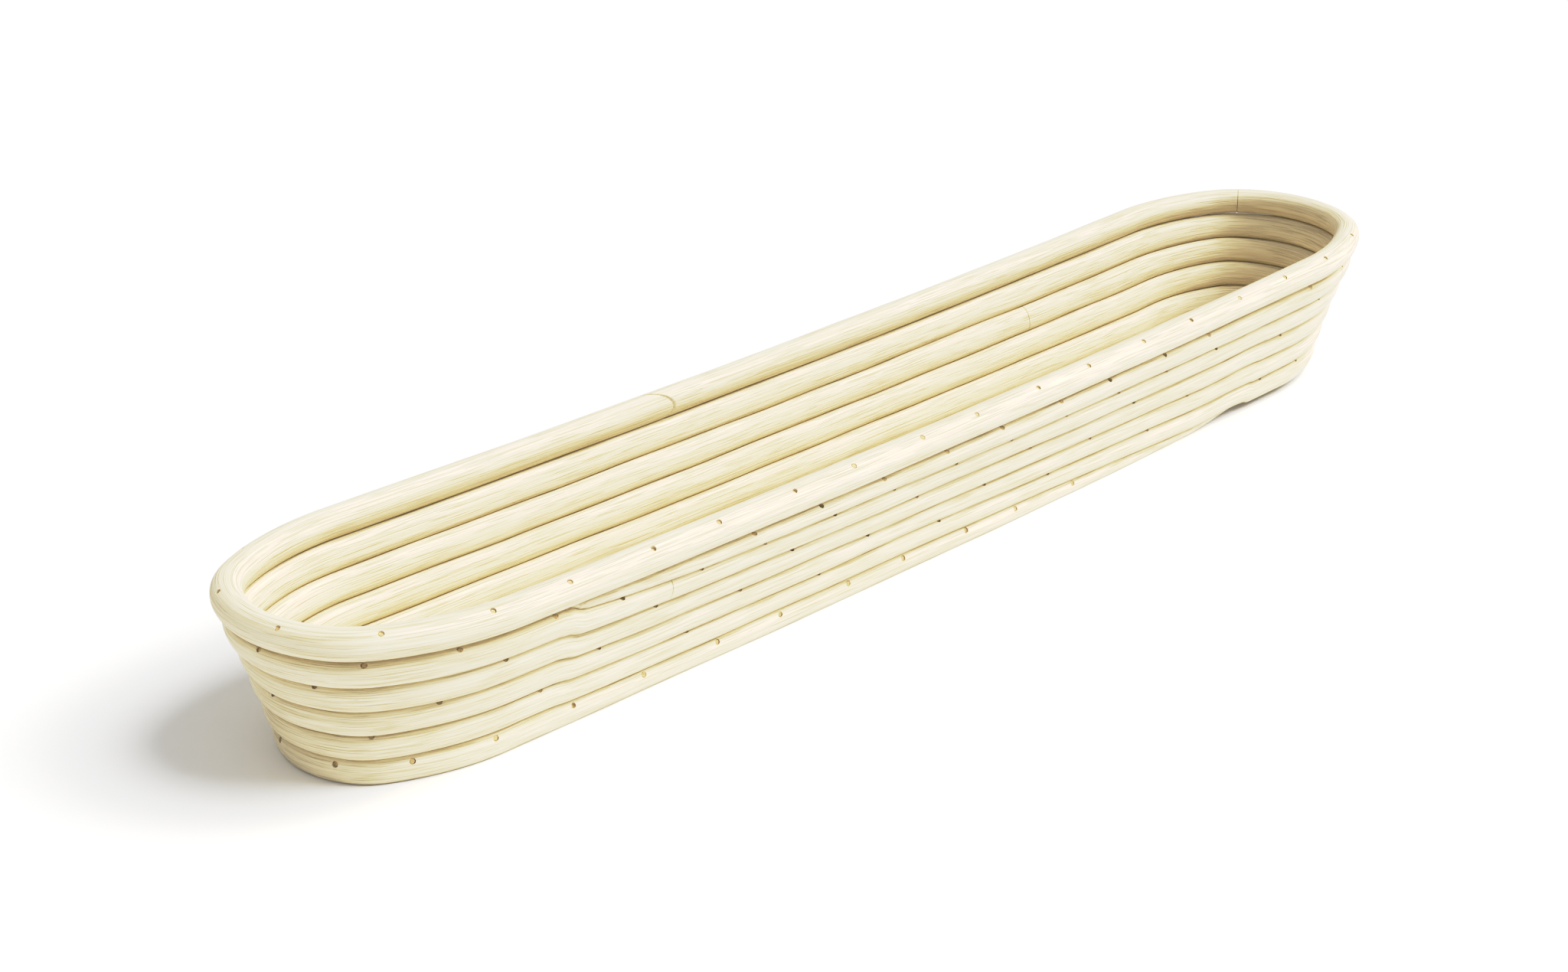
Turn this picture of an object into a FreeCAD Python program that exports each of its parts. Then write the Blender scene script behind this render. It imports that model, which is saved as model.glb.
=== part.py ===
"""Long proofing basket (banneton) of rattan cane, in millimetres.

Origin on the table under the middle of the basket. +X runs along the basket, +Z is up and -Y is the
near side, where the coil starts and ends. The wall is one helical winding of cane, five laps high,
pegged lap to lap. A separate cane ring is pegged on top as the rim. Straight canes, pinned from
outside, make the floor.
"""
import FreeCAD
import Part
import math
import os

# ---- plan of the rim's centre line: straight sides, three tangent arcs in each quarter ----
HALF_LENGTH = 260.0
FLANK_RADIUS = 85.0
SHOULDER_RADIUS = 31.0
TIP_RADIUS = 45.0
QUARTER_ARC_ANGLE = 30.0        # each of a quarter's three arcs turns by this much, in degrees
SIDE_BOW = -3.1                 # both sides lean this far towards -Y at mid length
BOW_BALANCE = 0.7               # share of the bow that is taken off again, to centre the basket on Y

# ---- wall ----
STACK_HEIGHT = 48.4             # table to the underside of the rim, before the rim's tilt and sag
RIM_TILT = 2.0                  # the rim stands this much higher at +X, and lower at -X
RIM_SAG = 2.3                   # the rim hangs this far lower at mid length
LAPS = 5
CANE_HALF_WIDTH = 4.0           # half the thickness of the wall
FULLNESS = 1.3                  # a tapered end keeps its full width down to 1 / this of its height
FLARE = (-1.64, 0.413, -0.002)  # inset of the wall from the rim, as a polynomial of the depth below it
LAP_GAP = 0.1                   # laps are kept this far apart
UNDERSIDE_TRIM = 0.45           # the lowest lap is trimmed flat by this much where it meets the table
RIM_RADIUS = 5.0
RIM_GAP = 0.15                  # the rim's underside is kept this far above the top lap

# ---- ends of the coil, both on the near side ----
COIL_START_X = 177.0
COIL_END_X = -185.0
START_TAPER = 200.0
START_TAPER_POWER = 0.62
END_TAPER = 260.0
END_TAPER_POWER = 0.32
END_LIFT = 3.0                  # the underside stands this far off the table at the +X end
LIFT_FROM = 200.0               # the underside starts to rise this far before the coil's start
LIFT_RAMP = 60.0                # and is fully raised after this length
START_RAMP = 40.0               # the start comes down to the table again in this length
THIN_END_SHARE = 0.25           # this share of the end's taper is too thin for a peg
TIP_SHARE = 0.06                # thickness left at a taper's tip, as a share of a full lap
TAPER_MARKS = (0, 0.8, 2.5, 6, 12, 20, 32, 48)   # distances from a tip at which the taper is shaped

# ---- floor ----
FLOOR_CANES = 6
FLOOR_CANE_WIDTH = 8.8
FLOOR_CANE_HEIGHT = 6.6
FLOOR_CLEARANCE = 2.4           # the floor canes stand this far off the table
FLOOR_FIT = 0.3                 # and end this far short of the wall

# ---- pegs ----
PEG_RADIUS = 0.85
PEG_SINK = 0.6                  # a peg's head lies this far below the cane's surface
PEG_DEPTH_SHARE = 0.6           # where a peg ends, as a share of the lower lap's half height above its middle
RIM_PEG_ANGLE = 55.0            # how far up the rim's outside a peg goes in, in degrees
LAP_PEG_ANGLE = 64.0            # the same for a lap of the wall: in the crease under the next lap
PEG_GRID = 7.5                  # pegs stand near multiples of this distance round the lap
PEG_UNEVENNESS = 1.5            # and, being set by eye, stray up to this far from them
UNEVEN_TURN = 2.4               # radians from one peg's stray to the next one's
THIN_START_SHARE = 0.15         # this share of the start's taper is too thin for a peg
THIN_PIN_SHARE = 0.5            # and this share of it for a pin

# ---- rows of pegs, as (steps of the grid between pegs, first step) ----
# Rows that share a cane keep to different steps out of every four, so their pegs never meet.
RIM_ROW = (4, 0)
LAP_ROWS = {1: (8, 1), 2: (8, 6), 3: (8, 3), 4: (4, 1), 5: (4, 2)}
PIN_ROW = (4, 3)

# ---- pins of the floor ----
PIN_ANGLE = 42.0                # how far up the lowest lap's outside a pin goes in, in degrees
RAISED_PIN_ANGLE = 68.0         # the same near the lowest lap's raised end
RAISED_STRETCH = 55.0           # over this last stretch of the lowest lap
PIN_SINK = 0.9
PIN_HEIGHT = 5.0                # height of a pin's inner end
NEAR_PIN_REACH = 26.0           # from the near side, a pin ends this far in
FAR_PIN_REACH = 35.0
END_PIN_REACH = 16.0            # round the ends, and at the raised end

# ---- joints between lengths of cane ----
LOWEST_LAP_JOINT_X = -100.0     # on the far side
FOURTH_LAP_JOINT_X = 127.0      # on the far side
TOP_LAP_JOINT_X = -142.0        # on the near side
LAST_JOINT_PAST_TIP = 60.0      # in the top lap, this far past the +X tip
RIM_SCARF_X = -67.0             # on the far side
RIM_BUTT_BEFORE_TIP = 27.0      # this far before the +X tip
SCARF_GAP = 1.2
SCARF_HALF_LENGTH = 7.5         # the scarf's outer side lies this far before its middle
SCARF_TIP = 0.9                 # its thin tips are cut square at this share of the cane's half width
BUTT_GAP = 0.25

SECTION_POINTS = 12
ARC_STEP = 5.0                  # degrees between sections on an arc
SIDE_STEP = 25.0                # millimetres between sections on a straight side
CLOSEST_MARKS = 0.7             # sections are never closer together than this

Vector = FreeCAD.Vector
UP = Vector(0, 0, 1)


def quarter_arcs():
    """The three arcs of a quarter, from the side to the tip, as (radius, angle)."""
    return [(radius, QUARTER_ARC_ANGLE) for radius in (FLANK_RADIUS, SHOULDER_RADIUS, TIP_RADIUS)]


def quarter_extent():
    """How far a quarter's arcs reach along X, and the half width that they make."""
    along = across = 0.0
    heading = 0.0
    for radius, angle in quarter_arcs():
        start, heading = heading, heading + math.radians(angle)
        along += radius * (math.sin(heading) - math.sin(start))
        across += radius * (math.cos(start) - math.cos(heading))
    return along, across


END_REACH, HALF_WIDTH = quarter_extent()
SIDE_HALF_LENGTH = HALF_LENGTH - END_REACH
QUARTER = [("arc", radius, angle) for radius, angle in quarter_arcs()]
HALF_LAP = [("line", SIDE_HALF_LENGTH, 0.0)] + QUARTER + QUARTER[::-1] + [("line", SIDE_HALF_LENGTH, 0.0)]
LAP_PATH = HALF_LAP + HALF_LAP  # starts in the middle of the near side and runs towards -X


def run_length(run):
    kind, size, angle = run
    return size if kind == "line" else size * math.radians(angle)


LAP_LENGTH = sum(run_length(run) for run in LAP_PATH)
OVERLAP = COIL_START_X - COIL_END_X             # the stretch of the near side that has one lap more
COIL_LENGTH = LAPS * LAP_LENGTH + OVERLAP
FAR_MIDDLE = LAP_LENGTH / 2 + COIL_START_X      # distance from the coil's start to the middle of the far side
PLUS_X_TIP = FAR_MIDDLE + LAP_LENGTH / 4
COIL_JOINTS = (                 # the coil's start, the butt joints between its lengths, and its end
    0.0,
    FAR_MIDDLE + LOWEST_LAP_JOINT_X,
    3 * LAP_LENGTH + FAR_MIDDLE + FOURTH_LAP_JOINT_X,
    4 * LAP_LENGTH + COIL_START_X - TOP_LAP_JOINT_X,
    4 * LAP_LENGTH + PLUS_X_TIP + LAST_JOINT_PAST_TIP,
    COIL_LENGTH,
)
RIM_SCARF = FAR_MIDDLE + RIM_SCARF_X
RIM_BUTT = PLUS_X_TIP - RIM_BUTT_BEFORE_TIP


def plan(distance):
    """Point, outward normal and direction of travel of the rim's centre line, at a distance along it."""
    rest = distance % LAP_LENGTH
    x, y, heading = 0.0, -HALF_WIDTH, math.pi
    for run in LAP_PATH:
        kind, size, angle = run
        length = min(rest, run_length(run))
        if kind == "line":
            x += length * math.cos(heading)
            y += length * math.sin(heading)
        else:
            turned = heading - length / size
            x += size * (math.sin(heading) - math.sin(turned))
            y += size * (math.cos(turned) - math.cos(heading))
            heading = turned
        rest -= length
        if rest <= 0:
            break
    normal = Vector(-math.sin(heading), math.cos(heading), 0)
    travel = Vector(math.cos(heading), math.sin(heading), 0)
    return x, y, normal, travel


def smooth(value):
    value = min(max(value, 0.0), 1.0)
    return value * value * (3 - 2 * value)


def mid_share(x):
    """1 at mid length, 0 at the tips."""
    return max(0.0, 1 - (x / HALF_LENGTH) ** 2)


def bowed(x, y):
    return y + SIDE_BOW * (mid_share(x) - BOW_BALANCE)


def rim_underside(x):
    return STACK_HEIGHT + RIM_TILT * x / HALF_LENGTH - RIM_SAG * mid_share(x)


def wall_point(distance, z):
    """The middle of the wall's thickness at a height z."""
    x, y, normal, _ = plan(distance)
    depth = rim_underside(x) + RIM_RADIUS - z
    inset = FLARE[0] + FLARE[1] * depth + FLARE[2] * depth ** 2
    return Vector(x, bowed(x, y), z) - normal * inset


def taper(reach, power):
    """Share of a full lap's thickness, some way up a taper."""
    return max(TIP_SHARE, min(max(reach, 0.0), 1.0) ** power)


def lap_edges(travelled):
    """Underside and top of the coil's cane, a distance along the coil from its start."""
    lap, along = divmod(travelled, LAP_LENGTH)
    x = plan(along - COIL_START_X)[0]
    left = OVERLAP - along
    start_share = 1.0
    end_share = 0.0
    if left > -0.001:
        start_share = taper(along / START_TAPER, START_TAPER_POWER)
        end_share = taper(left / END_TAPER, END_TAPER_POWER)
    rise = (LIFT_FROM - (LAP_LENGTH - along)) / LIFT_RAMP
    lift = END_LIFT * max(smooth(rise), smooth(1 - along / START_RAMP))
    pitch = (rim_underside(x) - RIM_GAP - lift) / (LAPS - 1 + start_share + end_share)
    if lap == 0:
        return lift - UNDERSIDE_TRIM * min(1.0, start_share * 2), lift + pitch * start_share
    low = lift + pitch * (start_share + lap - 1)
    return low, low + pitch * (end_share if lap == LAPS else 1.0)


def section(centre, half_axis, next_half_axis):
    """A closed oval wire, which starts at the end of one half axis and turns towards the next."""
    points = []
    for i in range(SECTION_POINTS):
        angle = 2 * math.pi * i / SECTION_POINTS
        points.append(centre + half_axis * math.cos(angle) + next_half_axis * math.sin(angle))
    curve = Part.BSplineCurve()
    curve.interpolate(points, PeriodicFlag=True)
    return Part.Wire(curve.toShape())


def coil_section(travelled):
    """Section of the coil, and its centre and half axes."""
    low, high = lap_edges(travelled)
    distance = travelled - COIL_START_X
    _, _, normal, _ = plan(distance)
    bottom = wall_point(distance, low)
    top = wall_point(distance, high)
    wall_up = (top - bottom).normalize()
    half_up = wall_up * ((top - bottom).Length / 2 - LAP_GAP / 2)
    thinned = min(1.0, half_up.Length / CANE_HALF_WIDTH * FULLNESS)
    out = normal - wall_up * normal.dot(wall_up)
    half_out = out.normalize() * CANE_HALF_WIDTH * thinned
    centre = (bottom + top) * 0.5
    return section(centre, half_out, half_up), centre, half_up, half_out


def rim_section(travelled):
    """Section of the rim above a place on the coil, and its centre and half axes.

    The wire starts on top, away from the pegs and from the tips of the scarf.
    """
    x, y, normal, _ = plan(travelled - COIL_START_X)
    centre = Vector(x, bowed(x, y), rim_underside(x) + RIM_RADIUS)
    half_up = UP * RIM_RADIUS
    half_out = normal * RIM_RADIUS
    return section(centre, half_up, half_out * -1), centre, half_up, half_out


def lap_marks():
    """Distances round the lap, from the coil's start, at which every cane has a section."""
    marks = {float(mark) for mark in TAPER_MARKS}
    marks.update(OVERLAP - mark for mark in TAPER_MARKS)
    reached = COIL_START_X
    for run in LAP_PATH:
        kind, size, angle = run
        length = run_length(run)
        steps = math.ceil(length / SIDE_STEP) if kind == "line" else round(angle / ARC_STEP)
        marks.update((reached + length * i / steps) % LAP_LENGTH for i in range(steps))
        reached += length
    kept = []
    for mark in sorted(marks):
        if not kept or mark - kept[-1] > CLOSEST_MARKS:
            kept.append(mark)
    return kept


LAP_MARKS = lap_marks()


def stations(start, end):
    """Every mark between two distances along the coil, without the ends themselves."""
    first_lap = math.floor(start / LAP_LENGTH)
    last_lap = math.floor(end / LAP_LENGTH)
    marks = [lap * LAP_LENGTH + mark for lap in range(first_lap, last_lap + 1) for mark in LAP_MARKS]
    return [mark for mark in marks if start + CLOSEST_MARKS / 2 < mark < end - CLOSEST_MARKS / 2]


def cane(section_at, start, end):
    """A length of cane between two distances along the coil, with square ends."""
    wires = [section_at(mark)[0] for mark in [start] + stations(start, end) + [end]]
    return Part.makeLoft(wires, True, True)


def scarfed(length, travelled, ahead):
    """A length of the rim, cut slantwise at a distance along it, and its thin tip cut square.

    ahead is 1 if the waste lies ahead of the cut, and -1 if it lies behind.
    """
    _, middle, half_up, half_out = rim_section(travelled)
    travel = plan(travelled - COIL_START_X)[3]
    across = (half_out - travel * SCARF_HALF_LENGTH) * ahead
    away = travel * ahead * 4 * SCARF_HALF_LENGTH
    thick_side = middle - half_up * 2 + across * 2
    tip = middle - half_up * 2 - across * SCARF_TIP
    past_tip = tip - half_out * ahead
    corners = [thick_side, tip, past_tip, past_tip + away, thick_side + away]
    waste = Part.Face(Part.makePolygon(corners + corners[:1])).extrude(half_up * 4)
    return length.cut(waste)


def peg(inner, head):
    axis = head - inner
    return Part.makeCylinder(PEG_RADIUS, axis.Length, inner, axis)


def uneven(index):
    """A small steady unevenness, as a hand leaves between pegs: from -1 to 1."""
    return math.sin(UNEVEN_TURN * index)


def slanting_peg(upper, lower, angle):
    """A peg that goes in at an angle up the outside of one cane, and ends in the middle of the cane below."""
    _, centre, half_up, half_out = upper
    _, below, below_up, below_out = lower
    inner = below + below_up * PEG_DEPTH_SHARE
    surface = centre + half_out * math.cos(math.radians(angle)) + half_up * math.sin(math.radians(angle))
    return peg(inner, surface - (surface - inner).normalize() * PEG_SINK)


def peg_places(row, start, end):
    """Distances of a row's pegs round the lap, between two distances from the coil's start."""
    every, first = row
    steps = range(first, math.ceil(end / PEG_GRID), every)
    places = [PEG_GRID * step + PEG_UNEVENNESS * uneven(step) for step in steps]
    return [place for place in places if start < place < end]


def lap_pegs(lap):
    """Pegs from one lap of the coil into the lap below."""
    end = OVERLAP - END_TAPER * THIN_END_SHARE if lap == LAPS else LAP_LENGTH
    pegs = []
    for place in peg_places(LAP_ROWS[lap], START_TAPER * THIN_START_SHARE, end):
        upper = coil_section(lap * LAP_LENGTH + place)
        lower = coil_section((lap - 1) * LAP_LENGTH + place)
        pegs.append(slanting_peg(upper, lower, LAP_PEG_ANGLE))
    return pegs


def rim_pegs():
    """Pegs from the rim into the coil's top lap."""
    pegs = []
    for place in peg_places(RIM_ROW, -PEG_GRID, LAP_LENGTH - PEG_GRID):
        top_lap = LAPS if place < OVERLAP - END_TAPER * THIN_END_SHARE else LAPS - 1
        lower = coil_section(top_lap * LAP_LENGTH + place)
        pegs.append(slanting_peg(rim_section(place), lower, RIM_PEG_ANGLE))
    return pegs


def floor_outline():
    """The space that the lowest lap leaves for the floor, as a tall solid."""
    inset = CANE_HALF_WIDTH + FLOOR_FIT
    points = []
    for mark in LAP_MARKS:
        distance = mark - COIL_START_X
        points.append(wall_point(distance, FLOOR_CLEARANCE) - plan(distance)[2] * inset)
    base = [Vector(point.x, point.y, 0) for point in points]
    face = Part.Face(Part.makePolygon(base + base[:1]))
    return face.extrude(UP * 2 * (FLOOR_CLEARANCE + FLOOR_CANE_HEIGHT))


def floor_cane(index, outline):
    """One straight cane of the floor, bowed as the sides are, with its ends cut to the oval."""
    y = (index - (FLOOR_CANES - 1) / 2) * FLOOR_CANE_WIDTH
    half_up = UP * (FLOOR_CANE_HEIGHT / 2)
    half_out = Vector(0, (FLOOR_CANE_WIDTH - LAP_GAP) / 2, 0)
    height = FLOOR_CLEARANCE + FLOOR_CANE_HEIGHT / 2
    wires = []
    steps = math.ceil(2 * HALF_LENGTH / SIDE_STEP)
    for i in range(steps + 1):
        x = HALF_LENGTH * (2 * i / steps - 1)
        centre = Vector(x, bowed(x, y), height)
        wires.append(section(centre, half_out, half_up))
    return Part.makeLoft(wires, True, True).common(outline)


def floor_pins():
    """Pins from the outside of the lowest lap into the canes of the floor."""
    pins = []
    for place in peg_places(PIN_ROW, START_TAPER * THIN_PIN_SHARE, LAP_LENGTH - PEG_GRID / 2):
        raised = place > LAP_LENGTH - RAISED_STRETCH
        angle = RAISED_PIN_ANGLE if raised else PIN_ANGLE
        _, centre, half_up, half_out = coil_section(place)
        x, y, normal, _ = plan(place - COIL_START_X)
        reach = NEAR_PIN_REACH if y < 0 else FAR_PIN_REACH
        if raised or abs(x) > SIDE_HALF_LENGTH:
            reach = END_PIN_REACH
        surface = centre + half_out * math.cos(math.radians(angle)) + half_up * math.sin(math.radians(angle))
        inner = surface - normal * reach
        inner.z = PIN_HEIGHT
        pins.append(peg(inner, surface - (surface - inner).normalize() * PIN_SINK))
    return pins


def drilled(solid, pegs):
    """The solid with a hole for each peg that reaches it."""
    near = [one for one in pegs if one.BoundBox.intersect(solid.BoundBox)]
    return solid.cut(Part.makeCompound(near)) if near else solid


def write(name, solids):
    shape = solids[0] if len(solids) == 1 else Part.makeCompound(solids)
    pieces = shape.Solids
    print(name, len(pieces), "solids", "valid" if all(piece.isValid() for piece in pieces) else "INVALID",
          round(shape.Volume), "mm3")
    shape.exportStep("parts/" + name + ".step")


def main():
    os.makedirs("parts", exist_ok=True)
    pegs = {"rim_pegs": rim_pegs(), "floor_pins": floor_pins()}
    for lap in range(1, LAPS + 1):
        pegs["wall_pegs_lap_%d" % lap] = lap_pegs(lap)
    every_peg = [one for group in pegs.values() for one in group]

    spare = 2 * SCARF_HALF_LENGTH
    short_rim = cane(rim_section, RIM_SCARF - spare, RIM_BUTT - BUTT_GAP / 2)
    long_rim = cane(rim_section, RIM_BUTT + BUTT_GAP / 2, LAP_LENGTH + RIM_SCARF + spare)
    canes = {
        "rim_cane_short": scarfed(short_rim, RIM_SCARF + SCARF_GAP / 2, -1),
        "rim_cane_long": scarfed(long_rim, LAP_LENGTH + RIM_SCARF - SCARF_GAP / 2, 1),
    }
    corner = Vector(-2 * HALF_LENGTH, -2 * HALF_WIDTH, -STACK_HEIGHT)
    below_table = Part.makeBox(4 * HALF_LENGTH, 4 * HALF_WIDTH, STACK_HEIGHT, corner)
    for number, (start, end) in enumerate(zip(COIL_JOINTS[:-1], COIL_JOINTS[1:]), 1):
        length = cane(coil_section, start + BUTT_GAP / 2, end - BUTT_GAP / 2)
        canes["coil_cane_%d" % number] = length.cut(below_table) if number <= 2 else length
    outline = floor_outline()
    for index in range(FLOOR_CANES):
        canes["floor_cane_%d" % (index + 1)] = floor_cane(index, outline)

    for name, solid in canes.items():
        write(name, [drilled(solid, every_peg)])
    for name, group in pegs.items():
        write(name, group)


main()
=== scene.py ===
"""Looks of a long rattan proofing basket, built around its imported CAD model, in metres.

The wall is one helical winding of cane, five laps high, with a separate ring of cane as its rim and straight
canes as its floor. Every cane is lofted again here from the design's sizes below, with fibres, butt and scarf
joints and drilled holes. Every wooden peg is made again on the axis that it has in the CAD model.
"""
import math
import bmesh
import bpy
import numpy as np
from mathutils import Matrix, Vector
from mathutils.bvhtree import BVHTree


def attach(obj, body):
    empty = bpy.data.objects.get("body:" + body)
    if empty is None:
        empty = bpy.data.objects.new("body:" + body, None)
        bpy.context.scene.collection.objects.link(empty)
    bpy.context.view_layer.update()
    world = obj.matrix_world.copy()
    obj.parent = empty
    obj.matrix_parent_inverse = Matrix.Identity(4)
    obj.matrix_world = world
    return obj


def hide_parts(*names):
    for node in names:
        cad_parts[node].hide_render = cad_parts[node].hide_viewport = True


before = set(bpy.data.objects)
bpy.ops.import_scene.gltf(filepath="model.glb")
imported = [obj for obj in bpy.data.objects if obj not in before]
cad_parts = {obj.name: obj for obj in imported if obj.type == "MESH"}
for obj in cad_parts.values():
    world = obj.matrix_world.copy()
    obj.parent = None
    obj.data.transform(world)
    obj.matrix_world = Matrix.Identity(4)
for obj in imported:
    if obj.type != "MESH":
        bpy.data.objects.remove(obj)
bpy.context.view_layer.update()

# ---- the design's sizes: plan of the rim ----
HALF_LENGTH = 0.260             # to the middle of the rim's cane
ARC_RADII = (0.085, 0.031, 0.045)   # of the three arcs between a long side and the middle of an end
ARC_ANGLE = math.radians(30)    # turned by each of them
SIDE_BOW = -0.0031              # the middle of the basket lies sideways from its ends by this
BOW_BALANCE = 0.7               # share of the bow that is taken off all over

# ---- wall ----
STACK_HEIGHT = 0.0484           # of the rim's underside, before its tilt and sag
RIM_TILT = 0.0020               # the +X end is this much higher, and the other end this much lower
RIM_SAG = 0.0023                # the middle of the rim is this much lower
LAPS = 5                        # full turns of the coil, besides the overlap of its two thin ends
CANE_HALF_WIDTH = 0.0040
FLARE = (-0.00164, 0.413, -2.0)     # the wall's inset at a depth below the rim's middle: constant, slope, curvature
LAP_GAP = -0.00008              # laps press into each other by this much
RIM_RADIUS = 0.0050
RIM_GAP = 0.00015               # between the top lap and the rim
UNDERSIDE_TRIM = 0.00045        # cut off under the lowest lap, so that it stands flat

# ---- ends of the coil, on the near side ----
COIL_START_X = 0.177
COIL_END_X = -0.185
START_TAPER = 0.200             # the start thickens over this length
START_TAPER_POWER = 0.62        # under 1: fast at first
END_TAPER = 0.260
END_TAPER_POWER = 0.32
TIP_SHARE = 0.06                # of the full thickness, at a tip
TIP_EASE = 0.008                # the coil's end thickens gently over this length from its tip
END_LIFT = 0.0030               # the lowest lap stands off the table by this where the coil starts
LIFT_FROM = 0.200               # the lift begins this far before the coil's start
LIFT_RAMP = 0.060               # it grows over this length
START_RAMP = 0.040              # and it ends over this length past the start

# ---- floor ----
FLOOR_CANES = 6
FLOOR_CANE_WIDTH = 0.0088
FLOOR_CANE_HEIGHT = 0.0066
FLOOR_CLEARANCE = 0.0024        # over the table
FLOOR_FIT = 0.00035             # between the floor canes and the wall
OUTLINE_LOW = -0.001            # the solid that trims the floor canes reaches from this height
OUTLINE_HIGH = 0.012            # to this one
OUTLINE_STEP = 0.004            # between its corners

# ---- joints ----
SCARF_GAP = 0.0012
BUTT_GAP = 0.00012
SCARF_HALF_LENGTH = 0.0075
SCARF_REACH = 3 * SCARF_HALF_LENGTH     # a scarf's slant fades into the cane over this length
LOWEST_LAP_JOINT_X = -0.100     # far side
FOURTH_LAP_JOINT_X = 0.127      # far side
TOP_LAP_JOINT_X = -0.142        # near side
LAST_JOINT_PAST_TIP = 0.060     # past the middle of the +X end
RIM_SCARF_X = -0.067            # far side
RIM_BUTT_BEFORE_TIP = 0.027     # before the middle of the +X end

# ---- mesh and hand-made unevenness ----
STEP = 0.0022                   # between sections along a cane
ROUND = 48                      # points round a section
WALL_SQUARENESS = 3.2           # 2 is an ellipse; more is squarer, where laps press on each other
RIM_SQUARENESS = 2.1
FULLNESS = 1.3                  # a cane narrows too where its thickness is under its width divided by this
EDGE_BREAK = 0.00015            # rounding of a cane's cut end
END_STEPS = (0.0, EDGE_BREAK, 0.0008, 0.0014)   # places of the sections nearest to a cut end
FIBRE_RELIEF = 0.00003
LAP_WAVER = 0.00014             # the line between two laps wanders by about this
WIDTH_WAVER = 0.00012
RIM_GRAIN_START = 20.0          # the rim's fibres are counted from here, so that they differ from the wall's
FLOOR_GRAIN_START = 40.0        # and the first floor cane's from here

MM = 0.001


# ---------------------------------------------------------------- the design's curves

def plan_runs():
    """Straight and curved runs of one lap, as (start, length, radius, x, y, heading); radius 0 is straight."""
    heading = along = across = 0.0
    for radius in ARC_RADII:
        along += radius * (math.sin(heading + ARC_ANGLE) - math.sin(heading))
        across += radius * (math.cos(heading) - math.cos(heading + ARC_ANGLE))
        heading += ARC_ANGLE
    side = HALF_LENGTH - along
    half_lap = [(side, 0.0)] + [(r * ARC_ANGLE, r) for r in ARC_RADII + ARC_RADII[::-1]] + [(side, 0.0)]
    runs = []
    start, x, y, heading = 0.0, 0.0, -across, math.pi
    for length, radius in half_lap * 2:
        runs.append((start, length, radius, x, y, heading))
        if radius:
            turned = heading - length / radius
            x += radius * (math.sin(heading) - math.sin(turned))
            y += radius * (math.cos(turned) - math.cos(heading))
            heading = turned
        else:
            x += length * math.cos(heading)
            y += length * math.sin(heading)
        start += length
    return runs, start


RUNS, LAP = plan_runs()
OVERLAP = COIL_START_X - COIL_END_X     # the coil's start and end share a lap's height over this stretch
COIL_LENGTH = LAPS * LAP + OVERLAP
FAR_MIDDLE = LAP / 2 + COIL_START_X
COIL_JOINTS = (
    0.0,
    FAR_MIDDLE + LOWEST_LAP_JOINT_X,
    3 * LAP + FAR_MIDDLE + FOURTH_LAP_JOINT_X,
    4 * LAP + COIL_START_X - TOP_LAP_JOINT_X,
    4 * LAP + FAR_MIDDLE + LAP / 4 + LAST_JOINT_PAST_TIP,
    COIL_LENGTH,
)
RIM_SCARF = FAR_MIDDLE + RIM_SCARF_X
RIM_BUTT = FAR_MIDDLE + LAP / 4 - RIM_BUTT_BEFORE_TIP


def plan(distance):
    """x, y and heading of the rim's centre line at distances along it from the middle of the near side."""
    rest = np.mod(distance, LAP)
    x, y, heading = np.zeros_like(rest), np.zeros_like(rest), np.zeros_like(rest)
    for start, length, radius, x0, y0, h0 in RUNS:
        here = (rest >= start) & (rest <= start + length)
        gone = rest[here] - start
        if radius:
            turned = h0 - gone / radius
            x[here] = x0 + radius * (math.sin(h0) - np.sin(turned))
            y[here] = y0 + radius * (np.cos(turned) - math.cos(h0))
            heading[here] = turned
        else:
            x[here] = x0 + gone * math.cos(h0)
            y[here] = y0 + gone * math.sin(h0)
            heading[here] = h0
    return x, y, heading


def smooth(value):
    """0 below 0, 1 above 1, and a soft step between them."""
    value = np.clip(value, 0.0, 1.0)
    return value * value * (3 - 2 * value)


def mid_share(x):
    """1 at the middle of the basket's length, falling to 0 at its ends."""
    return np.maximum(0.0, 1 - (x / HALF_LENGTH) ** 2)


def bowed(x, y):
    return y + SIDE_BOW * (mid_share(x) - BOW_BALANCE)


def rim_underside(x):
    return STACK_HEIGHT + RIM_TILT * x / HALF_LENGTH - RIM_SAG * mid_share(x)


def wall_point(distance, z):
    """The middle of the wall's thickness at heights z, and the outward normal there."""
    x, y, heading = plan(distance)
    normal = np.stack([-np.sin(heading), np.cos(heading), 0 * x], 1)
    depth = rim_underside(x) + RIM_RADIUS - z
    inset = FLARE[0] + FLARE[1] * depth + FLARE[2] * depth ** 2
    return np.stack([x, bowed(x, y), z], 1) - normal * inset[:, None], normal


def waver(along, *waves):
    """A smooth steady unevenness between about -1 and 1; each wave is (length, phase)."""
    return sum(np.sin(2 * np.pi * along / length + phase) for length, phase in waves) / len(waves) ** 0.5 / 1.2


def taper(reach, power):
    """Share of the full thickness at a share of the way along a tapered end."""
    return np.maximum(TIP_SHARE, np.clip(reach, 0.0, 1.0) ** power)


def lap_line_waver(travelled):
    """How far the line between two laps wanders, at a distance along the cane above it."""
    return LAP_WAVER * waver(travelled, (0.137, 0.3), (0.083, 1.9), (0.211, 4.0), (0.047, 2.2))


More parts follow.
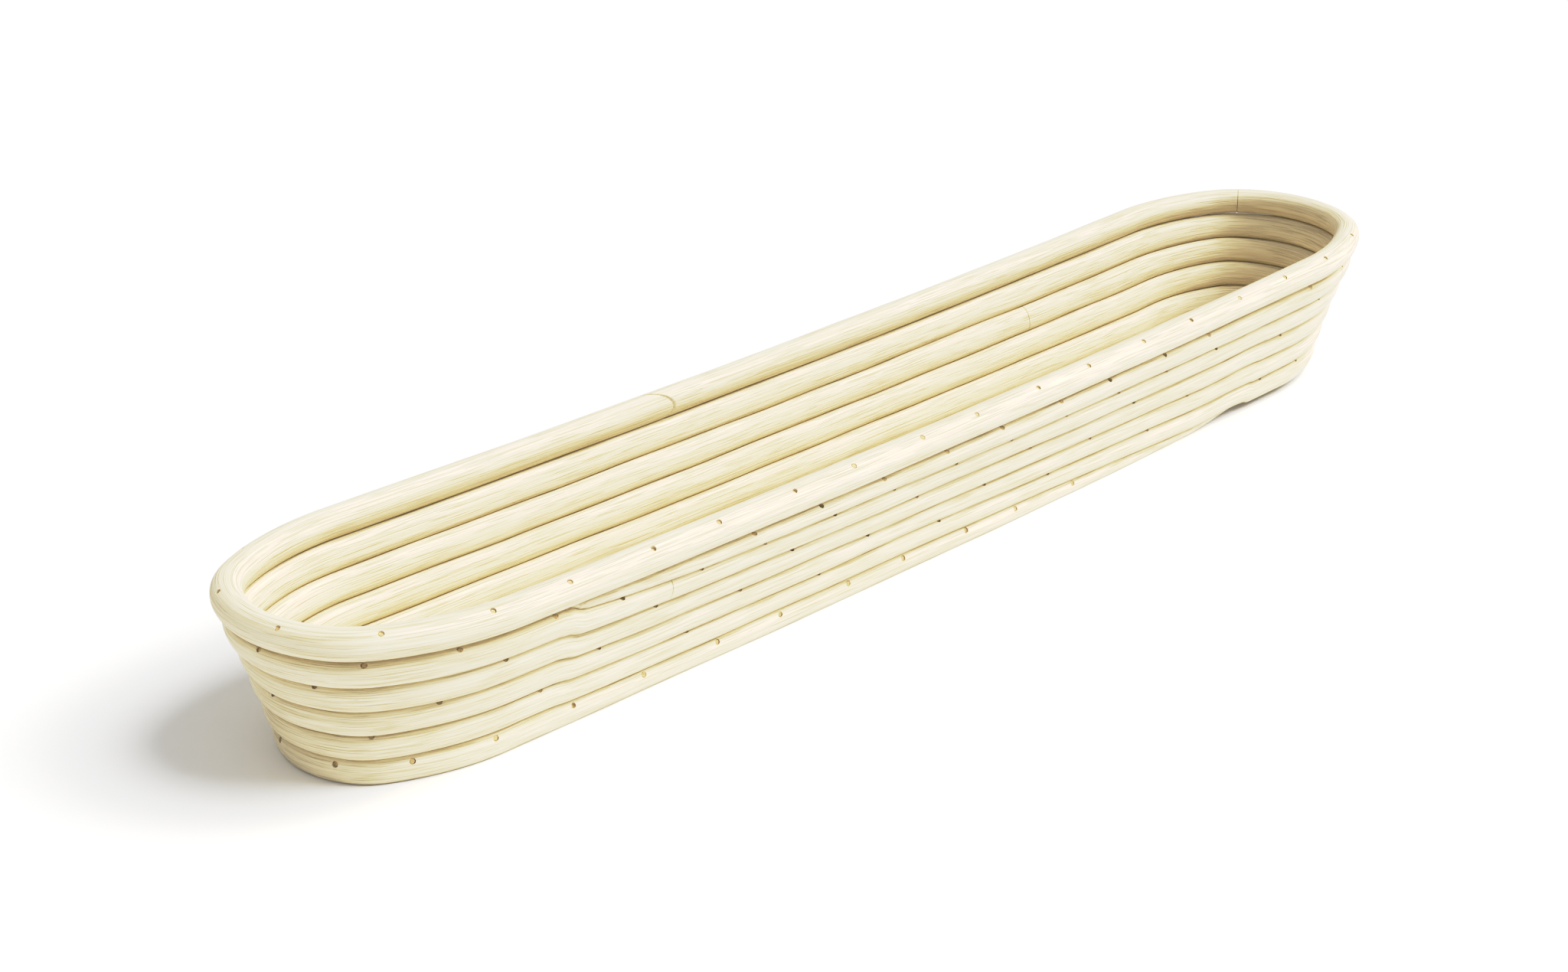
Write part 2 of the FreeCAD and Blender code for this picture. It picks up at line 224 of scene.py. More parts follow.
def lap_edges(travelled):
    """Underside and top of the coil's cane at distances along the coil from its start."""
    lap = np.floor(travelled / LAP)
    along = travelled - lap * LAP
    x = plan(along - COIL_START_X)[0]
    left = OVERLAP - along
    doubled = left > -1e-6      # where both thin ends share one lap's height
    start_share = np.where(doubled, taper(along / START_TAPER, START_TAPER_POWER), 1.0)
    end_share = np.where(doubled, taper(left / END_TAPER, END_TAPER_POWER) * smooth(left / TIP_EASE), 0.0)
    end_share = np.where(doubled, np.maximum(TIP_SHARE, end_share), 0.0)
    rise = (LIFT_FROM - (LAP - along)) / LIFT_RAMP
    lift = END_LIFT * np.maximum(smooth(rise), smooth(1 - along / START_RAMP))
    pitch = (rim_underside(x) - RIM_GAP - lift) / (LAPS - 1 + start_share + end_share)
    low = lift + pitch * (start_share + lap - 1)
    high = low + pitch * np.where(lap >= LAPS, end_share, 1.0)
    trim = UNDERSIDE_TRIM * np.minimum(1.0, start_share * 2)
    low_full = np.where(lap <= 1, start_share, np.where(lap >= LAPS, end_share, 1.0))
    low_line = low_full * lap_line_waver(travelled)
    over = travelled + LAP
    covered = over < COIL_LENGTH
    high_full = np.where(lap >= LAPS - 1, end_share, np.where(lap < 1, start_share, 1.0))
    high_line = high_full * lap_line_waver(over)
    low = np.where(lap < 1, lift - trim, low + low_line)
    high = np.where(lap < 1, lift + pitch * start_share, high) + np.where(covered, high_line, 0.0)
    return low, high


# ---------------------------------------------------------------- canes as meshes

ANGLES = np.linspace(0, 2 * np.pi, ROUND, endpoint=False)


def squared(value, squareness):
    """A sine or cosine, pushed outwards towards a rounded square."""
    return np.sign(value) * np.abs(value) ** (2 / squareness)


def fibre_ridges(travelled, half_out):
    """Small offsets along every fibre row, so that the surface is drawn out in fine grooves."""
    rows = np.arange(ROUND)     # each row has its own two wave lengths, of about 55 and 19 mm, and its own height
    slow = np.sin(2 * np.pi * travelled[:, None] / (0.055 + 0.03 * np.sin(rows * 2.7)) + rows * 1.9)
    fast = np.sin(2 * np.pi * travelled[:, None] / (0.019 + 0.006 * np.sin(rows * 4.1)) + rows * 5.3)
    steady = np.sin(rows * 12.9898) * 1.1
    return FIBRE_RELIEF * (0.6 * slow + 0.3 * fast + steady) * np.minimum(1, half_out / CANE_HALF_WIDTH)


def ring_points(centre, up, out, half_up, half_out, along, slide, travel, squareness=WALL_SQUARENESS):
    """Rings of points round a cane, and the straightened place of each point: outwards, up and along."""
    grooves = fibre_ridges(along, half_out[:, None])
    side = squared(np.cos(ANGLES), squareness) * half_out[:, None] + grooves * np.cos(ANGLES)
    rise = np.sin(ANGLES) * half_up[:, None] + grooves * np.sin(ANGLES)
    points = centre[:, None, :] + out[:, None, :] * side[..., None] + up[:, None, :] * rise[..., None]
    points += travel[:, None, :] * (slide[:, None] * np.cos(ANGLES))[..., None]
    grain = np.stack([side, rise, np.repeat(along[:, None], ROUND, 1)], 2)
    return points, grain


def coil_rings(travelled, slide):
    """Sections of the coil's cane at distances along the coil."""
    low, high = lap_edges(travelled)
    distance = travelled - COIL_START_X
    bottom, normal = wall_point(distance, low)
    top, _ = wall_point(distance, high)
    up = top - bottom
    length = np.linalg.norm(up, axis=1)
    up = up / length[:, None]
    out = normal - up * (normal * up).sum(1)[:, None]
    out = out / np.linalg.norm(out, axis=1)[:, None]
    half_up = length / 2 - LAP_GAP / 2
    full = np.minimum(1.0, half_up / CANE_HALF_WIDTH * FULLNESS)
    width_line = waver(travelled, (0.171, 0.8), (0.094, 3.1), (0.061, 5.0))
    half_out = CANE_HALF_WIDTH * full + WIDTH_WAVER * full * width_line
    shift = WIDTH_WAVER * full * waver(travelled, (0.233, 1.3), (0.119, 0.2))
    centre = (bottom + top) / 2 + out * shift[:, None]
    travel = np.stack([normal[:, 1], -normal[:, 0], 0 * low], 1)
    points, grain = ring_points(centre, up, out, half_up, half_out, travelled, slide, travel)
    points[..., 2] = np.maximum(points[..., 2], 0.0)
    return points, grain


def rim_rings(travelled, slide):
    """Sections of the rim's cane at distances along it."""
    x, y, heading = plan(travelled - COIL_START_X)
    normal = np.stack([-np.sin(heading), np.cos(heading), 0 * x], 1)
    travel = np.stack([normal[:, 1], -normal[:, 0], 0 * x], 1)
    radius = RIM_RADIUS + 0.5 * WIDTH_WAVER * (waver(travelled, (0.151, 0.4), (0.087, 2.6)) - 1)
    centre = np.stack([x, bowed(x, y), rim_underside(x) + RIM_RADIUS], 1)
    up = np.repeat([[0.0, 0.0, 1.0]], len(x), 0)
    along = travelled + RIM_GRAIN_START
    return ring_points(centre, up, normal, radius, radius, along, slide, travel, RIM_SQUARENESS)


def floor_rings(index):
    """The function that gives one floor cane's sections at places along X."""
    def rings(travelled, slide):
        x = travelled
        y = (index - (FLOOR_CANES - 1) / 2) * FLOOR_CANE_WIDTH
        height = FLOOR_CLEARANCE + FLOOR_CANE_HEIGHT / 2
        centre = np.stack([x, bowed(x, y), 0 * x + height], 1)
        up = np.repeat([[0.0, 0.0, 1.0]], len(x), 0)
        out = np.repeat([[0.0, 1.0, 0.0]], len(x), 0)
        travel = np.repeat([[1.0, 0.0, 0.0]], len(x), 0)
        half_up = 0 * x + FLOOR_CANE_HEIGHT / 2
        half_out = 0 * x + FLOOR_CANE_WIDTH / 2
        along = travelled + FLOOR_GRAIN_START + index
        return ring_points(centre, up, out, half_up, half_out, along, slide, travel)
    return rings


def mesh_object(name, points, faces, grain):
    """An object with a straightened place, "grain", on every face corner."""
    mesh = bpy.data.meshes.new(name)
    mesh.from_pydata(points, [], faces)
    mesh.update()
    corners = np.empty(len(mesh.loops), dtype=np.int32)
    mesh.loops.foreach_get("vertex_index", corners)
    layer = mesh.attributes.new("grain", "FLOAT_VECTOR", "CORNER")
    layer.data.foreach_set("vector", np.asarray(grain, dtype=np.float32)[corners].ravel())
    obj = bpy.data.objects.new(name, mesh)
    bpy.context.scene.collection.objects.link(obj)
    return obj


def cane(name, rings_at, start, end, start_skew=0.0, end_skew=0.0):
    """A closed cane between two distances, with its cut edges broken and its ends square or skewed."""
    tips = np.array(END_STEPS)
    count = max(2, round((end - start - 2 * STEP) / STEP))
    travelled = np.concatenate([start + tips, np.linspace(start + STEP, end - STEP, count), end - tips[::-1]])
    slide = (start_skew * np.clip(1 - (travelled - start) / SCARF_REACH, 0, 1)
             + end_skew * np.clip(1 - (end - travelled) / SCARF_REACH, 0, 1))
    points, grain = rings_at(travelled, slide)
    for ring in (0, -1):
        middle = points[ring].mean(0)
        points[ring] = middle + (points[ring] - middle) * (1 - EDGE_BREAK / CANE_HALF_WIDTH)
    rings = len(travelled)
    middles = points[[0, -1]].mean(1)
    middle_grain = grain[[0, -1]].mean(1)
    points = np.concatenate([points.reshape(-1, 3), middles])
    grain = np.concatenate([grain.reshape(-1, 3), middle_grain])
    here = np.arange(ROUND)
    after = (here + 1) % ROUND
    rows = np.arange(rings - 1)[:, None] * ROUND
    quads = np.stack([rows + here, rows + ROUND + here, rows + ROUND + after, rows + after], 2).reshape(-1, 4)
    last = (rings - 1) * ROUND
    first_middle, last_middle = rings * ROUND, rings * ROUND + 1
    faces = quads.tolist()
    faces += [[first_middle, int(a), int(b)] for a, b in zip(here, after)]
    faces += [[last_middle, int(last + b), int(last + a)] for a, b in zip(here, after)]
    return mesh_object(name, points, faces, grain)


def cut(obj, cutter, operation="DIFFERENCE"):
    """Cuts obj's mesh with the cutter's, or keeps what both share."""
    step = obj.modifiers.new("cut", "BOOLEAN")
    step.operation = operation
    step.solver = "MANIFOLD"
    step.object = cutter
    depsgraph = bpy.context.evaluated_depsgraph_get()
    result = bpy.data.meshes.new_from_object(obj.evaluated_get(depsgraph), depsgraph=depsgraph)
    obj.modifiers.clear()
    obj.data = result


def remove(obj):
    bpy.data.objects.remove(obj)


def take_out_folds(obj):
    """Splits every face into triangles and takes out pairs on the same three corners, which cuts leave behind."""
    work = bmesh.new()
    work.from_mesh(obj.data)
    bmesh.ops.triangulate(work, faces=work.faces[:])
    same = {}
    for face in work.faces:
        same.setdefault(frozenset(corner.index for corner in face.verts), []).append(face)
    folds = [face for faces in same.values() if len(faces) > 1 for face in faces]
    bmesh.ops.delete(work, geom=folds, context="FACES")
    work.to_mesh(obj.data)
    work.free()


# ---------------------------------------------------------------- pegs and their holes

PEG_RADIUS = 0.00085
PEG_SIDES = 20
HOLE_RADIUS = 0.00093
HOLE_SIDES = 24
HOLE_REACH = 0.0012             # how far a drill's path is cut out beyond the surface
HOLE_BEYOND_PEG = 0.0002        # past the peg's inner end
HOLE_SIZES = (0.97, 1.06)       # smallest and largest hole, as shares of HOLE_RADIUS
PEG_END_BREAK = 0.12 * MM       # length of the broken edge at a peg's ends
PEG_END_SHARE = 0.88            # of its radius, at the very end
PEG_LOBES = 3                   # a whittled peg is slightly three-sided
OUT_OF_ROUND = 0.03             # by this share of its radius
PEG_PLAY = 0.00009              # a peg sits off the middle of its hole by this
SINKS = (0.00015, 0.0003, 0.0005, 0.0009, 0.0016)   # depths of a peg's head below the surface
SINK_CHANCES = (0.25, 0.3, 0.25, 0.12, 0.08)
HEAD_WITH_SURFACE = 0.75        # share of the surface's direction in a head's cut
HEAD_WITH_PEG = 0.45            # and of the peg's
HEAD_TILT = 0.16                # greatest uneven slant of a head
SURFACE_SEARCH = 0.004          # a head lies within this distance of the surface
STRAIGHT_HALF_LENGTH = 0.2      # roughly where the basket's sides begin to curve
SEED = 7                        # of the pegs' unevenness


def loose_solids(node):
    """The points of each separate solid in a CAD node."""
    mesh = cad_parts[node].data
    points = np.empty(len(mesh.vertices) * 3, dtype=np.float32)
    mesh.vertices.foreach_get("co", points)
    places, same = np.unique(np.round(points.reshape(-1, 3), 6), axis=0, return_inverse=True)
    group = np.arange(len(places))
    edges = np.empty(len(mesh.edges) * 2, dtype=np.int32)
    mesh.edges.foreach_get("vertices", edges)
    edges = same.ravel()[edges].reshape(-1, 2)
    before = None
    while before is None or (group != before).any():
        before = group.copy()
        lowest = np.minimum(group[edges[:, 0]], group[edges[:, 1]])
        np.minimum.at(group, edges[:, 0], lowest)
        np.minimum.at(group, edges[:, 1], lowest)
        group = group[group]
    return [places[group == number].astype(float) for number in np.unique(group)]


def peg_ends(node):
    """The two ends of every peg in a CAD node, inner end first: the head is further out or higher."""
    ends = []
    for points in loose_solids(node):
        middle = points.mean(0)
        axis = np.linalg.eigh(np.cov((points - middle).T))[1][:, 2]
        along = (points - middle) @ axis
        pair = [points[along > along.max() - MM / 10].mean(0), points[along < along.min() + MM / 10].mean(0)]
        outward = [np.hypot(max(abs(end[0]) - STRAIGHT_HALF_LENGTH, 0), end[1]) + end[2] for end in pair]
        inner, head = pair if outward[0] < outward[1] else pair[::-1]
        ends.append((Vector(inner), Vector(head)))
    return ends


def cane_surface(canes):
    """A search tree over the undrilled canes."""
    points = []
    faces = []
    for obj in canes:
        first = len(points)
        points += [v.co.copy() for v in obj.data.vertices]
        faces += [[first + i for i in p.vertices] for p in obj.data.polygons]
    return BVHTree.FromPolygons(points, faces)


def way_out(surface, point, direction):
    """Where a line from inside a cane leaves it, and the cane's outward normal there."""
    place, normal, _, _ = surface.ray_cast(point, direction, SURFACE_SEARCH)
    if place is None:
        return point + direction * PEG_RADIUS, direction
    return place, normal if normal.dot(direction) > 0 else -normal


def cross_axes(axis):
    """Two directions square to an axis and to each other."""
    side = axis.orthogonal().normalized()
    return side, axis.cross(side)


def rod(low, high, low_normal, high_normal, radii, sides, shift=Vector((0, 0, 0))):
    """Points and faces of a closed rod between two planes that cut it at any slant, with its edges broken."""
    axis = (high - low).normalized()
    side, third = cross_axes(axis)
    points = []
    for plane, normal, inset, scale in ((low, low_normal, 0, PEG_END_SHARE), (low, low_normal, PEG_END_BREAK, 1.0),
                                        (high, high_normal, -PEG_END_BREAK, 1.0),
                                        (high, high_normal, 0, PEG_END_SHARE)):
        for i in range(sides):
            angle = 2 * math.pi * i / sides
            spoke = (side * math.cos(angle) + third * math.sin(angle)) * radii[i] * scale
            place = low + shift + spoke
            reach = (plane - place).dot(normal) / axis.dot(normal)
            points.append(place + axis * (reach + inset))
    faces = [list(range(sides))[::-1], [3 * sides + i for i in range(sides)]]
    for ring in range(3):
        for i in range(sides):
            k = (i + 1) % sides
            faces.append([ring * sides + i, ring * sides + k, (ring + 1) * sides + k, (ring + 1) * sides + i])
    return points, faces


def slanted(normal, axis, random):
    """A cut's normal: partly along the surface, partly square to the peg, and never quite even."""
    tilt = Vector(random.uniform(-HEAD_TILT, HEAD_TILT, 3))
    return (normal * HEAD_WITH_SURFACE + axis * HEAD_WITH_PEG + tilt).normalized()


def collect(solids):
    """Several solids' points and faces as one list of each."""
    points = []
    faces = []
    for more_points, more_faces in solids:
        first = len(points)
        points += more_points
        faces += [[first + i for i in face] for face in more_faces]
    return points, faces


def make_pegs(node, surface, random):
    """The pegs of one CAD node, and the drilled paths that they sit in."""
    pegs = []
    paths = []
    for inner, head in peg_ends(node):
        axis = (head - inner).normalized()
        out, normal = way_out(surface, head, axis)
        sink = random.choice(SINKS, p=SINK_CHANCES)
        lobes = 2 * np.pi * np.arange(PEG_SIDES) / PEG_SIDES * PEG_LOBES + random.uniform(0, 6)
        radii = PEG_RADIUS * (1 + OUT_OF_ROUND * np.sin(lobes))
        side, third = cross_axes(axis)
        turn = random.uniform(0, 2 * math.pi)
        shift = (side * math.cos(turn) + third * math.sin(turn)) * PEG_PLAY
        high_cut = slanted(normal, axis, random)
        pegs.append(rod(inner, out - axis * sink, -axis, high_cut, radii, PEG_SIDES, shift))
        first = inner - axis * HOLE_BEYOND_PEG
        size = HOLE_RADIUS * random.uniform(*HOLE_SIZES)
        paths.append(rod(first, out + axis * HOLE_REACH, -axis, axis, [size] * HOLE_SIDES, HOLE_SIDES))
    return collect(pegs), paths


def grain_of(points):
    """A straightened place for loose points: short fibres that run along X."""
    return [(p[1], p[2], p[0]) for p in points]


# ---------------------------------------------------------------- materials

PALE = (0.85, 0.77, 0.57, 1.0)
STRAW = (0.71, 0.615, 0.41, 1.0)
# the cane's own darker vessels take this colour, and so does the painted shade in its creases
VESSEL_AND_SHADE_OCHRE = (0.54, 0.44, 0.22, 1.0)
FLECK = (0.33, 0.22, 0.10, 1.0)
PEG_PALE = (0.70, 0.56, 0.33, 1.0)
PEG_BROWN = (0.47, 0.33, 0.15, 1.0)
PEG_STAIN = (0.56, 0.42, 0.22, 1.0)
TABLE_GREYS = ((0.90, 0.90, 0.90, 1.0), (0.92, 0.918, 0.912, 1.0))
CREASE_SHADE_WIDTH = 0.0016           # painted shade in a crease grows over this height
CREASE_SHADE_WANDER = 0.0022          # its edge wanders over this height
SHARP_DEGREES = 38              # a steeper edge stays sharp


def node(tree, kind, inputs=None, **settings):
    """Adds one shader node; an input is a value or another node's output."""
    made = tree.nodes.new("ShaderNode" + kind)
    for name, value in settings.items():
        setattr(made, name, value)
    for name, value in (inputs or {}).items():
        socket = made.inputs[name]
        if isinstance(value, bpy.types.NodeSocket):
            tree.links.new(value, socket)
        else:
            socket.default_value = value
    return made


def stretched_noise(tree, grain, stretch, scale, detail=2.0, roughness=0.5):
    """Noise drawn out along the fibres; 1 over scale is its width in metres."""
    along = node(tree, "VectorMath", {0: grain, 1: (1.0, 1.0, stretch)}, operation="MULTIPLY")
    return node(tree, "TexNoise", {"Vector": along.outputs[0], "Scale": scale, "Detail": detail,
                                   "Roughness": roughness}).outputs["Fac"]


def between(tree, value, low, high, to_low=0.0, to_high=1.0):
    """A soft step from to_low to to_high as value goes from low to high."""
    return node(tree, "MapRange", {"Value": value, "From Min": low, "From Max": high, "To Min": to_low,
                                   "To Max": to_high}, interpolation_type="SMOOTHSTEP").outputs["Result"]


def maths(tree, operation, first, second=0.0):
    return node(tree, "Math", {0: first, 1: second}, operation=operation).outputs[0]


def mixed(tree, share, first, second):
    """The first colour, with a share of the second."""
    made = node(tree, "Mix", data_type="RGBA")
    for name, value in (("Factor_Float", share), ("A_Color", first), ("B_Color", second)):
        socket = next(s for s in made.inputs if s.identifier == name)
        if isinstance(value, bpy.types.NodeSocket):
            tree.links.new(value, socket)
        else:
            socket.default_value = value
    return next(s for s in made.outputs if s.identifier == "Result_Color")


def cane_material(name, crease_shade_from, under_only=False):
    """Bare peeled rattan: pale fibres, thin darker vessels, slow colour changes, and painted shade in ochre in the
    creases.
    """
    material = bpy.data.materials.new(name)
    material.use_nodes = True
    tree = material.node_tree
    shader = tree.nodes["Principled BSDF"]
    grain = node(tree, "Attribute", attribute_name="grain").outputs["Vector"]
    parts = node(tree, "SeparateXYZ", {0: grain})
    up = parts.outputs["Y"]

    fibres = stretched_noise(tree, grain, 0.010, 2300.0, 3.0, 0.6)
    streaks = stretched_noise(tree, grain, 0.022, 750.0, 2.0, 0.5)
    vessels = stretched_noise(tree, grain, 0.016, 3300.0, 1.0, 0.4)
    patches = stretched_noise(tree, grain, 0.25, 60.0, 3.0, 0.5)
    flecks = stretched_noise(tree, grain, 0.10, 1500.0, 2.0, 0.6)

    tone = maths(tree, "ADD", maths(tree, "MULTIPLY", fibres, 0.70), maths(tree, "MULTIPLY", streaks, 0.18))
    tone = maths(tree, "ADD", tone, maths(tree, "MULTIPLY", patches, 0.12))
    colour = mixed(tree, between(tree, tone, 0.38, 0.64), PALE, STRAW)
    colour = mixed(tree, between(tree, vessels, 0.55, 0.68, 0.0, 0.45), colour, VESSEL_AND_SHADE_OCHRE)
    colour = mixed(tree, between(tree, flecks, 0.73, 0.80, 0.0, 0.55), colour, FLECK)
    # painted shade: the colour turns towards ochre near the top and bottom of each cane's section, where it meets
    # its neighbours; on the rim, only underneath
    depth = maths(tree, "MULTIPLY", up, -1.0) if under_only else maths(tree, "ABSOLUTE", up)
    wander = maths(tree, "MULTIPLY", maths(tree, "SUBTRACT", streaks, 0.5), CREASE_SHADE_WANDER)
    depth = maths(tree, "ADD", depth, wander)
    crease_shade = between(tree, depth, crease_shade_from, crease_shade_from + CREASE_SHADE_WIDTH, 0.0, 0.28)
    colour = mixed(tree, crease_shade, colour, VESSEL_AND_SHADE_OCHRE)
    tree.links.new(colour, shader.inputs["Base Color"])

    gloss = maths(tree, "ADD", maths(tree, "MULTIPLY", fibres, 0.22), maths(tree, "MULTIPLY", patches, 0.12))
    tree.links.new(between(tree, gloss, 0.08, 0.26, 0.46, 0.72), shader.inputs["Roughness"])
    shader.inputs["Specular IOR Level"].default_value = 0.42
    shader.inputs["Sheen Weight"].default_value = 0.06
    shader.inputs["Sheen Roughness"].default_value = 0.45

    pores = stretched_noise(tree, grain, 0.12, 5200.0, 2.0, 0.6)
    height = maths(tree, "SUBTRACT", fibres, maths(tree, "MULTIPLY", between(tree, vessels, 0.56, 0.72), 0.5))
    height = maths(tree, "ADD", height, maths(tree, "MULTIPLY", pores, 0.25))
    bump = node(tree, "Bump", {"Height": height, "Strength": 0.85, "Distance": 0.00026})
    tree.links.new(bump.outputs["Normal"], shader.inputs["Normal"])
    return material


def peg_material():
    """Whittled wooden pegs: end grain on the head, a little darker than the cane."""
    material = bpy.data.materials.new("peg_wood")
    material.use_nodes = True
    tree = material.node_tree
    shader = tree.nodes["Principled BSDF"]
    grain = node(tree, "Attribute", attribute_name="grain").outputs["Vector"]
    rings = stretched_noise(tree, grain, 1.0, 2600.0, 3.0, 0.6)
    stains = stretched_noise(tree, grain, 1.0, 260.0, 2.0, 0.5)
    colour = mixed(tree, between(tree, rings, 0.35, 0.68), PEG_PALE, PEG_BROWN)
    colour = mixed(tree, between(tree, stains, 0.45, 0.7, 0.0, 0.5), colour, PEG_STAIN)
    tree.links.new(colour, shader.inputs["Base Color"])
    tree.links.new(between(tree, rings, 0.3, 0.7, 0.62, 0.85), shader.inputs["Roughness"])
    bump = node(tree, "Bump", {"Height": rings, "Strength": 0.8, "Distance": 0.0002})
    tree.links.new(bump.outputs["Normal"], shader.inputs["Normal"])
    return material


def soften(obj):
    obj.data.shade_smooth()
    obj.data.set_sharp_from_angle(angle=math.radians(SHARP_DEGREES))


# ---------------------------------------------------------------- the basket

WALL_CREASE_SHADE = 0.0032            # height above or below a cane's middle where its painted crease shade begins
RIM_CREASE_SHADE = 0.0036
FLOOR_CREASE_SHADE = 0.0026
wall_wood = cane_material("coil_rattan", WALL_CREASE_SHADE)
rim_wood = cane_material("rim_rattan", RIM_CREASE_SHADE, under_only=True)
floor_wood = cane_material("floor_rattan", FLOOR_CREASE_SHADE)
peg_wood = peg_material()

coil = {}
for number, (start, end) in enumerate(zip(COIL_JOINTS[:-1], COIL_JOINTS[1:]), 1):
    first, last = start + BUTT_GAP / 2, end - BUTT_GAP / 2
    coil["coil_cane_%d" % number] = cane("coil_%d" % number, coil_rings, first, last)
rim = {
    "rim_cane_short": cane("rim_short", rim_rings, RIM_SCARF + SCARF_GAP / 2, RIM_BUTT - BUTT_GAP / 2,
                           start_skew=-SCARF_HALF_LENGTH),
    "rim_cane_long": cane("rim_long", rim_rings, RIM_BUTT + BUTT_GAP / 2, LAP + RIM_SCARF - SCARF_GAP / 2,
                          end_skew=-SCARF_HALF_LENGTH),
}


def floor_outline():
    """The space that the lowest lap leaves for the floor, as a tall closed solid."""
    marks = np.arange(0, LAP, OUTLINE_STEP)
    middle, normal = wall_point(marks, np.full_like(marks, FLOOR_CLEARANCE))
    edge = middle - normal * (CANE_HALF_WIDTH + FLOOR_FIT)
    count = len(marks)
    low, high = edge.copy(), edge.copy()
    low[:, 2] = OUTLINE_LOW
    high[:, 2] = OUTLINE_HIGH
    faces = [list(range(count)), [2 * count - 1 - i for i in range(count)]]
    faces += [[i, count + i, count + (i + 1) % count, (i + 1) % count] for i in range(count)]
    points = np.concatenate([low, high])
    return mesh_object("floor_outline", points, faces, grain_of(points))


floor = {}
for index in range(FLOOR_CANES):
    strip = cane("floor_%d" % (index + 1), floor_rings(index), -HALF_LENGTH, HALF_LENGTH)
    outline = floor_outline()
    cut(strip, outline, "INTERSECT")
    remove(outline)
    floor["floor_cane_%d" % (index + 1)] = strip

canes = {**coil, **rim, **floor}
surface = cane_surface(canes.values())
random = np.random.default_rng(SEED)
pegs = {}
paths = []
for name in ["rim_pegs", "floor_pins"] + ["wall_pegs_lap_%d" % lap for lap in range(1, LAPS + 1)]:
    (points, faces), more_paths = make_pegs(name, surface, random)
    pegs[name] = mesh_object(name + "_wood", points, faces, grain_of(points))
    paths += more_paths
points, faces = collect(paths)
for obj in canes.values():
    drill = mesh_object("drill", points, faces, grain_of(points))
    cut(obj, drill)
    remove(drill)
    take_out_folds(obj)

for group, material, slot in ((coil, wall_wood, "coil_cane"), (rim, rim_wood, "rim_cane"),
                              (floor, floor_wood, "floor_cane"), (pegs, peg_wood, "pegs")):
    for name, obj in group.items():
        obj.data.materials.clear()
        obj.data.materials.append(material)
        soften(obj)
        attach(obj, "root")
        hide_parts(name)


# ---------------------------------------------------------------- the table, the light and the camera

TABLE_HALF_SIZE = 6.0
TABLE_CELLS = 24
TABLE_TOP = -0.0001
SKY_STRENGTH = 0.64
KEY_DIRECTION = (0.52, -0.62, 1.0)
KEY_SPREAD = 36                 # degrees
KEY_STRENGTH = 4.3
CAMERA_YAW = -45.5              # degrees, as the two below
CAMERA_PITCH = 23.1
CAMERA_ROLL = -0.78
CAMERA_DISTANCE = 0.9492        # from the basket's middle, with small shifts to the left and up
CAMERA_LEFT = 0.03149
CAMERA_RISE = 0.01178
LENS = 61.25                    # mm, as the sensor
SENSOR = 36.0
FILM_WHITE = 1.5                # the tone curve ends at this light; each pair is a light and its shown tone
FILM_CURVE = ((0.15, 0.10), (0.3, 0.21), (0.45, 0.37), (0.6, 0.55), (0.75, 0.68), (1.05, 0.83), (1.3, 0.90))


def table():
    """A plain pale table top under the basket, a little lower than its base."""
    line = np.linspace(-TABLE_HALF_SIZE, TABLE_HALF_SIZE, TABLE_CELLS + 1)
    points = [(x, y, TABLE_TOP) for y in line for x in line]
    row = TABLE_CELLS + 1
    faces = [[r * row + c, r * row + c + 1, (r + 1) * row + c + 1, (r + 1) * row + c]
             for r in range(TABLE_CELLS) for c in range(TABLE_CELLS)]
    obj = mesh_object("table", points, faces, points)
    material = bpy.data.materials.new("table_white")
    material.use_nodes = True
    tree = material.node_tree
    shader = tree.nodes["Principled BSDF"]
    place = node(tree, "TexCoord").outputs["Object"]
    mottle = node(tree, "TexNoise", {"Vector": place, "Scale": 3.0, "Detail": 2.0}).outputs["Fac"]
    colour = mixed(tree, mottle, *TABLE_GREYS)
    tree.links.new(colour, shader.inputs["Base Color"])
    shader.inputs["Roughness"].default_value = 0.9
    shader.inputs["Specular IOR Level"].default_value = 0.1
    obj.data.materials.append(material)


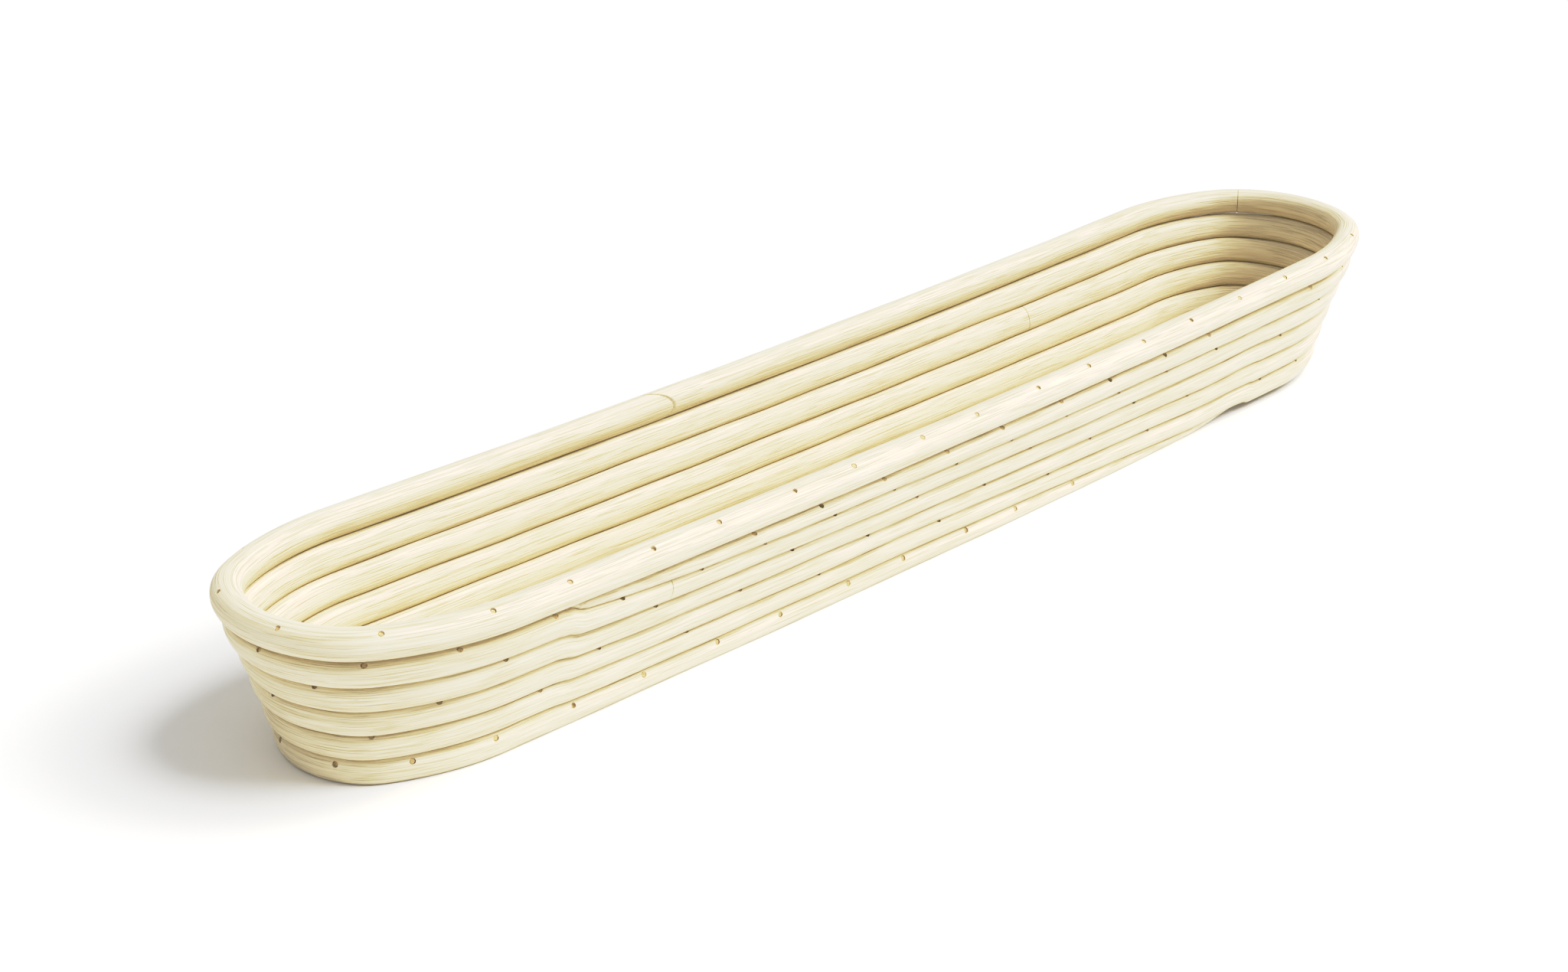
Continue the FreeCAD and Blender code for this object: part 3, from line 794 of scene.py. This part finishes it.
def soft_key():
    """One broad even light."""
    data = bpy.data.lights.new("key", "SUN")
    data.energy = KEY_STRENGTH
    data.angle = math.radians(KEY_SPREAD)
    obj = bpy.data.objects.new("key", data)
    bpy.context.scene.collection.objects.link(obj)
    obj.rotation_euler = Vector(KEY_DIRECTION).to_track_quat("Z", "Y").to_euler()


def sky():
    """An even white sky."""
    world = bpy.data.worlds.new("soft_sky")
    world.use_nodes = True
    background = world.node_tree.nodes["Background"]
    background.inputs["Color"].default_value = (1.0, 1.0, 1.0, 1.0)
    background.inputs["Strength"].default_value = SKY_STRENGTH
    bpy.context.scene.world = world


def camera():
    """A long lens, level but for a small roll, looking down the basket's near side."""
    yaw, pitch, roll = math.radians(CAMERA_YAW), math.radians(CAMERA_PITCH), math.radians(CAMERA_ROLL)
    back = Vector((math.sin(yaw) * math.cos(pitch), -math.cos(yaw) * math.cos(pitch), math.sin(pitch)))
    right = Vector((0, 0, 1)).cross(back).normalized()
    up = back.cross(right)
    turned_right = right * math.cos(roll) + up * math.sin(roll)
    turned_up = up * math.cos(roll) - right * math.sin(roll)
    data = bpy.data.cameras.new("camera")
    data.lens = LENS
    data.sensor_width = SENSOR
    data.clip_start = 0.01
    obj = bpy.data.objects.new("camera", data)
    bpy.context.scene.collection.objects.link(obj)
    middle = Vector((0, -SIDE_BOW * BOW_BALANCE, 0))
    place = middle + back * CAMERA_DISTANCE - turned_right * CAMERA_LEFT + turned_up * CAMERA_RISE
    axes = Matrix((turned_right, turned_up, back)).transposed()
    obj.matrix_world = Matrix.Translation(place) @ axes.to_4x4()
    bpy.context.scene.camera = obj


def film():
    """A tone curve: darker tones are deepened a little, and highlights roll off gently before they clip."""
    view = bpy.context.scene.view_settings
    view.view_transform = "Standard"
    view.use_curve_mapping = True
    mapping = view.curve_mapping
    mapping.white_level = (FILM_WHITE, FILM_WHITE, FILM_WHITE)
    curve = mapping.curves[3]
    for light, shown in FILM_CURVE:
        curve.points.new(light / FILM_WHITE, shown)
    mapping.update()


table()
sky()
soft_key()
camera()
film()
